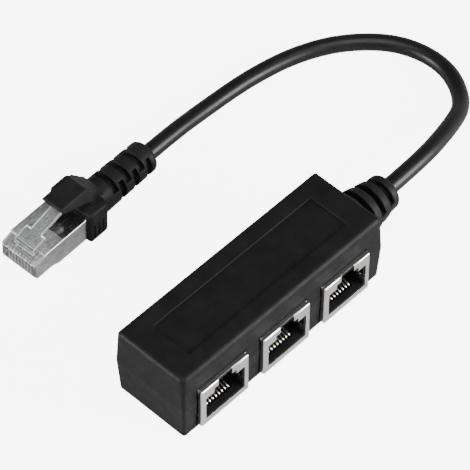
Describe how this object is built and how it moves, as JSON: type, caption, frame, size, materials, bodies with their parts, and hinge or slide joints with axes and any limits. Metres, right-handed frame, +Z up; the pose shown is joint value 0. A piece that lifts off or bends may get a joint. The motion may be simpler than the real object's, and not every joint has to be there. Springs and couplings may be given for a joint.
{
  "type": "rj45 splitter adapter",
  "caption": "Black network splitter: flat oblong housing with shielded modular jacks in a row along one side, and a short round cable from its end to a booted shielded plug with a clear nose.",
  "frame": {"origin": "centre of the housing's underside, on the surface it stands on", "axes": "+Z up; +X along the housing towards the end where the cable leaves; the jacks open towards -Y"},
  "size_m": [0.1318, 0.0732, 0.0213],
  "materials": {
    "housing_plastic": "satin black, fine grain",
    "board": "green solder mask",
    "jack_sheet": "nickel plated sheet, soft shine",
    "socket_plastic": "matt black",
    "contact_gold": "thin gold plating",
    "relief_rubber": "satin black",
    "jacket": "smooth black jacket with a soft shine",
    "boot_rubber": "satin black",
    "plug_sheet": "bright nickel plated sheet",
    "clear_plastic": "clear polycarbonate",
    "white_orange": "thin wire insulation",
    "orange": "thin wire insulation",
    "white_green": "thin wire insulation",
    "blue": "thin wire insulation",
    "white_blue": "thin wire insulation",
    "green": "thin wire insulation",
    "white_brown": "thin wire insulation",
    "brown": "thin wire insulation"
  },
  "bodies": {
    "root": {"housing_bottom": "housing_plastic", "housing_top": "housing_plastic", "circuit_board": "board", "jack_shield_1": "jack_sheet", "jack_shield_2": "jack_sheet", "jack_shield_3": "jack_sheet", "jack_insert_1": "socket_plastic", "jack_insert_2": "socket_plastic", "jack_insert_3": "socket_plastic", "jack_contacts_1": "contact_gold", "jack_contacts_2": "contact_gold", "jack_contacts_3": "contact_gold", "strain_relief": "relief_rubber", "cable": "jacket", "board_wire_1": "white_orange", "board_wire_2": "orange", "board_wire_3": "white_green", "board_wire_4": "blue", "board_wire_5": "white_blue", "board_wire_6": "green", "board_wire_7": "white_brown", "board_wire_8": "brown", "plug_boot": "boot_rubber", "plug_shield": "plug_sheet", "plug_body": "clear_plastic", "plug_contacts": "contact_gold", "plug_wire_1": "white_orange", "plug_wire_2": "orange", "plug_wire_3": "white_green", "plug_wire_4": "blue", "plug_wire_5": "white_blue", "plug_wire_6": "green", "plug_wire_7": "white_brown", "plug_wire_8": "brown"}
  },
  "joints": []
}
